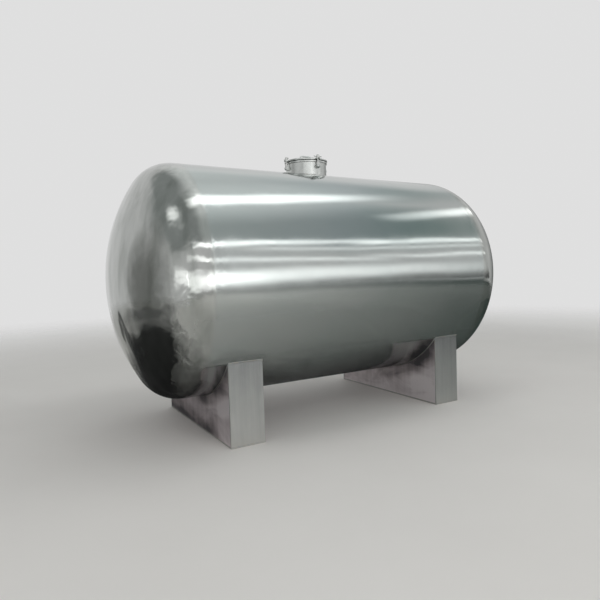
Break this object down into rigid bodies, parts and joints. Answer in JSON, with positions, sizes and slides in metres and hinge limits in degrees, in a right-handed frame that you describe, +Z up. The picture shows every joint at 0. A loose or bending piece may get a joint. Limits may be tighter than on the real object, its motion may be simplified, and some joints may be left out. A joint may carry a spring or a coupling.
{
  "type": "horizontal water tank",
  "caption": "Horizontal cylindrical stainless water tank with dished ends, a clamped round manway on top and box saddles that stand on the floor.",
  "frame": {"origin": "on the floor, midway between the saddles and under the tank's axis", "axes": "+X along the tank to its right end, +Y to its back, +Z up"},
  "size_m": [3.8428, 1.9999, 2.49],
  "materials": {
    "shell_sheet": "rolled stainless sheet, satin with a fine grain along the tank",
    "polished_head": "stainless dish polished almost to a mirror, with faint hammer waves",
    "saddle_plate": "stainless plate with an upright brushed grain",
    "manway_steel": "turned and brushed stainless steel",
    "bolt_steel": "bright stainless bar",
    "gasket_rubber": "black sheet rubber, matt"
  },
  "bodies": {
    "root": {"left_shell_course": "shell_sheet", "middle_shell_course": "shell_sheet", "right_shell_course": "shell_sheet", "left_head": "polished_head", "right_head": "polished_head", "left_saddle_front_plate": "saddle_plate", "left_saddle_back_plate": "saddle_plate", "left_saddle_outer_web": "saddle_plate", "left_saddle_inner_web": "saddle_plate", "left_saddle_base_plate": "saddle_plate", "right_saddle_front_plate": "saddle_plate", "right_saddle_back_plate": "saddle_plate", "right_saddle_outer_web": "saddle_plate", "right_saddle_inner_web": "saddle_plate", "right_saddle_base_plate": "saddle_plate", "manway_neck": "manway_steel", "manway_rim": "manway_steel", "manway_cover": "manway_steel", "cover_handle": "manway_steel", "manway_gasket": "gasket_rubber", "swing_lug_left": "manway_steel", "swing_pin_left": "bolt_steel", "swing_bolt_left": "bolt_steel", "bar_nut_left": "bolt_steel", "swing_lug_front": "manway_steel", "swing_pin_front": "bolt_steel", "swing_bolt_front": "bolt_steel", "bar_nut_front": "bolt_steel", "swing_lug_right": "manway_steel", "swing_pin_right": "bolt_steel", "swing_bolt_right": "bolt_steel", "bar_nut_right": "bolt_steel", "swing_lug_back": "manway_steel", "swing_pin_back": "bolt_steel", "swing_bolt_back": "bolt_steel", "bar_nut_back": "bolt_steel"}
  },
  "joints": []
}
